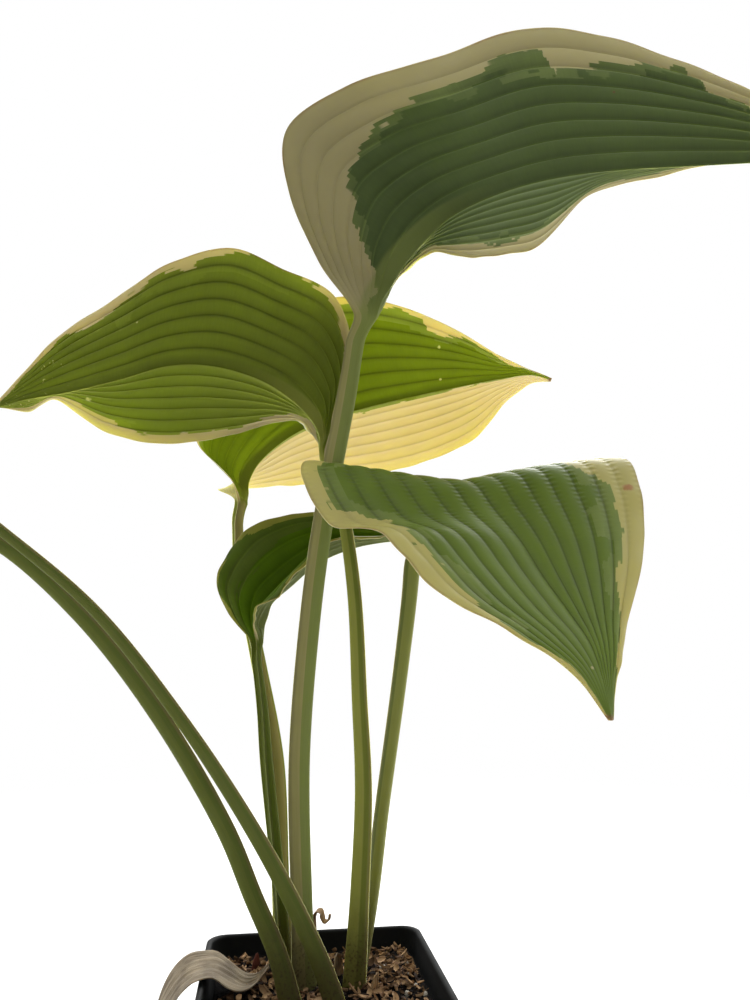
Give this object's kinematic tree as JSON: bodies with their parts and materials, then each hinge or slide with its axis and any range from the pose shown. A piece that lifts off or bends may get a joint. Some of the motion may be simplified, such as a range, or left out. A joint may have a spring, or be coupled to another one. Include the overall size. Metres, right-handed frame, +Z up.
{
  "type": "potted hosta plant",
  "caption": "Young variegated hosta in a square black nursery pot: broad ribbed leaves on long channelled stalks over bark-filled potting mix.",
  "frame": {"origin": "centre of the pot's flat underside", "axes": "+Z up; X and Y square to the pot's sides; -Y is the side that the plant is mainly seen from, with the highest leaf reaching to +X and the two low side leaves to -X"},
  "size_m": [0.562, 0.2837, 0.5143],
  "materials": {
    "pot": "satin",
    "potting_mix": "matte",
    "crown": "matte",
    "leaf": "satin",
    "dry_leaf": "matte",
    "bud": "satin"
  },
  "bodies": {
    "root": {"pot": "pot", "soil": "potting_mix", "crown": "crown", "leaf_top": "leaf", "leaf_left": "leaf", "leaf_front": "leaf", "leaf_back": "leaf", "leaf_small": "leaf", "leaf_side_1": "leaf", "leaf_side_2": "leaf", "withered_leaf": "dry_leaf", "sheath_left": "dry_leaf", "sheath_right": "dry_leaf", "curled_bract": "dry_leaf", "bud": "bud"}
  },
  "joints": []
}
